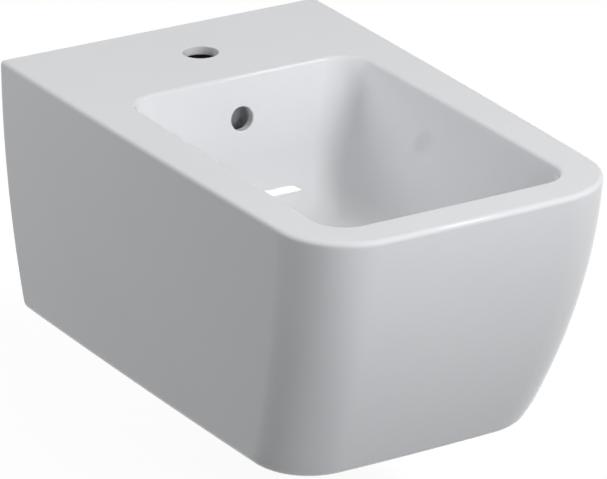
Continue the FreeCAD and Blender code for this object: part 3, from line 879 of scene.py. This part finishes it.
def procedural(name, dark, light, scale, roughness, metallic=0, specular=0.5, stretch=(1, 1, 1), bump=0,
               bump_scale=1):
    # finish whose colour, roughness and fine relief follow noise over the object
    material = bpy.data.materials.new(name)
    tree, shader = nodes_of(material)
    shader.inputs["Metallic"].default_value = metallic
    shader.inputs["Specular IOR Level"].default_value = specular
    place = tree.nodes.new("ShaderNodeTexCoord")
    mapping = tree.nodes.new("ShaderNodeMapping")
    mapping.inputs["Scale"].default_value = stretch
    tree.links.new(place.outputs["Object"], mapping.inputs["Vector"])
    noise = tree.nodes.new("ShaderNodeTexNoise")
    noise.inputs["Scale"].default_value = scale
    noise.inputs["Detail"].default_value = noise_detail
    tree.links.new(mapping.outputs["Vector"], noise.inputs["Vector"])
    ramp = tree.nodes.new("ShaderNodeValToRGB")
    for stop, position, colour in zip(ramp.color_ramp.elements, ramp_stops, (dark, light)):
        stop.position = position
        stop.color = (*colour, 1)
    tree.links.new(noise.outputs["Fac"], ramp.inputs["Fac"])
    tree.links.new(ramp.outputs["Color"], shader.inputs["Base Color"])
    gloss = tree.nodes.new("ShaderNodeMapRange")
    gloss.inputs["To Min"].default_value = roughness[0]
    gloss.inputs["To Max"].default_value = roughness[1]
    tree.links.new(noise.outputs["Fac"], gloss.inputs["Value"])
    tree.links.new(gloss.outputs["Result"], shader.inputs["Roughness"])
    if bump:
        fine = tree.nodes.new("ShaderNodeTexNoise")
        fine.inputs["Scale"].default_value = bump_scale
        tree.links.new(mapping.outputs["Vector"], fine.inputs["Vector"])
        relief = tree.nodes.new("ShaderNodeBump")
        relief.inputs["Distance"].default_value = bump
        tree.links.new(fine.outputs["Fac"], relief.inputs["Height"])
        tree.links.new(relief.outputs["Normal"], shader.inputs["Normal"])
    return material


def paint_nodes(materials):
    # every solid gets the finish of its slot in the record
    slots = {row["node"]: row["material_slot"] for row in frame["record"]["subparts"]}
    for node, obj in frame["nodes"].items():
        obj.data.materials.clear()
        obj.data.materials.append(materials[slots[node]])


def build_ceramic(materials):
    shell = ceramic_skin()
    shell.data.materials.append(materials["white_glaze"])
    hollow_out(shell, materials["white_glaze"], materials["raw_ceramic_and_shade"])
    smooth(shell)
    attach(shell, "fixed")
    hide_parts("ceramic_body")


# Stage: floor, light and camera
floor_drop = 400 * mm  # usual height of the rim above a floor
floor_half = 8.0
floor_shade = 0.15
floor_glow = 0.92
dome_light = 0.14
plain_white = (1.0, 1.0, 1.0)
cool_white = (0.95, 0.965, 1.0)
lamp_distance = 3.0
key_direction = Vector((0.27, -0.56, 0.78)).normalized()
key_size = 0.8
key_power = 39.0
front_direction = Vector((0, -1, 0.25)).normalized()
front_size = 1.6
front_power = 35.0
back_direction = Vector((-0.6, 0.6, 0.5)).normalized()
back_size = 1.6
back_power = 33.0
strip_direction = Vector((0.4845, -0.52, 0.703)).normalized()
strip_distance = 8.0
strip_width = 0.34
strip_length = 1.5
strip_power = 19.0
camera_azimuth = math.radians(-31.32)
camera_elevation = math.radians(22.63)
camera_roll = math.radians(0.24)
camera_distance = 4300 * mm
camera_target = Vector((28.84 * mm, -223.44 * mm, -55.4 * mm))
camera_lens = 266.7
camera_sensor = 36.0


def seen_rays(tree):
    # 1 for what the camera sees directly or in a reflection, 0 for light on surfaces
    path = tree.nodes.new("ShaderNodeLightPath")
    seen = path.outputs["Is Camera Ray"]
    for name in ("Is Glossy Ray", "Is Transmission Ray"):
        either = tree.nodes.new("ShaderNodeMath")
        either.operation = "MAXIMUM"
        tree.links.new(seen, either.inputs[0])
        tree.links.new(path.outputs[name], either.inputs[1])
        seen = either.outputs[0]
    return seen


def set_world():
    world = bpy.data.worlds.new("studio")
    world.use_nodes = True
    tree = world.node_tree
    background = tree.nodes["Background"]
    background.inputs["Color"].default_value = (1, 1, 1, 1)
    level = tree.nodes.new("ShaderNodeMapRange")
    level.inputs["To Min"].default_value = dome_light
    level.inputs["To Max"].default_value = 1
    tree.links.new(seen_rays(tree), level.inputs["Value"])
    tree.links.new(level.outputs["Result"], background.inputs["Strength"])
    bpy.context.scene.world = world


def add_floor():
    bm = bmesh.new()
    z = rim_z - floor_drop
    corners = [(-floor_half, -floor_half, z), (floor_half, -floor_half, z),
               (floor_half, floor_half, z), (-floor_half, floor_half, z)]
    bm.faces.new(add_row(bm, corners))
    floor = new_object("floor", bm)
    material = bpy.data.materials.new("pale_floor")
    tree, shader = nodes_of(material)
    shader.inputs["Base Color"].default_value = (floor_shade, floor_shade, floor_shade, 1)
    shader.inputs["Roughness"].default_value = 1
    shader.inputs["Specular IOR Level"].default_value = 0
    shader.inputs["Emission Color"].default_value = (1, 1, 1, 1)
    level = tree.nodes.new("ShaderNodeMapRange")
    level.inputs["To Max"].default_value = floor_glow
    tree.links.new(seen_rays(tree), level.inputs["Value"])
    tree.links.new(level.outputs["Result"], shader.inputs["Emission Strength"])
    floor.data.materials.append(material)


def add_lamp(name, direction, distance, power):
    data = bpy.data.lights.new(name, "AREA")
    data.energy = power
    lamp = bpy.data.objects.new(name, data)
    lamp.location = camera_target + direction * distance
    lamp.rotation_mode = "QUATERNION"
    bpy.context.scene.collection.objects.link(lamp)
    return lamp


def add_soft_lamp(name, direction, size, power, colour):
    # broad round lamp that gives shade but no highlight
    lamp = add_lamp(name, direction, lamp_distance, power)
    lamp.data.shape = "DISK"
    lamp.data.size = size
    lamp.data.color = colour
    lamp.rotation_quaternion = (-direction).to_track_quat("-Z", "Y")
    lamp.visible_glossy = False


def add_strip():
    # far lamp for the bright lines along the edges and low in the bowl. Its long side is parallel to the
    # plane x = 0.
    lamp = add_lamp("strip", strip_direction, strip_distance, strip_power)
    lamp.data.shape = "RECTANGLE"
    lamp.data.size = strip_width
    lamp.data.size_y = strip_length
    facing = Vector((0, -strip_direction.y, -strip_direction.z))
    lamp.rotation_quaternion = facing.to_track_quat("-Z", "Y")


def add_camera():
    data = bpy.data.cameras.new("camera")
    data.lens = camera_lens
    data.sensor_width = camera_sensor
    camera = bpy.data.objects.new("camera", data)
    back = Vector((math.sin(camera_azimuth) * math.cos(camera_elevation),
                   -math.cos(camera_azimuth) * math.cos(camera_elevation),
                   math.sin(camera_elevation)))
    camera.location = camera_target + back * camera_distance
    camera.rotation_mode = "QUATERNION"
    camera.rotation_quaternion = (-back).to_track_quat("-Z", "Y") @ Quaternion((0, 0, 1), camera_roll)
    bpy.context.scene.collection.objects.link(camera)
    bpy.context.scene.camera = camera


materials = {name: procedural(name, **finish) for name, finish in finishes.items()}
paint_nodes(materials)
build_ceramic(materials)
build_studs(materials)
build_waste(materials)
build_spring(materials)
set_world()
add_floor()
add_soft_lamp("key", key_direction, key_size, key_power, plain_white)
add_soft_lamp("front", front_direction, front_size, front_power, cool_white)
add_soft_lamp("back", back_direction, back_size, back_power, cool_white)
add_strip()
add_camera()
bpy.context.scene.view_settings.view_transform = "Standard"
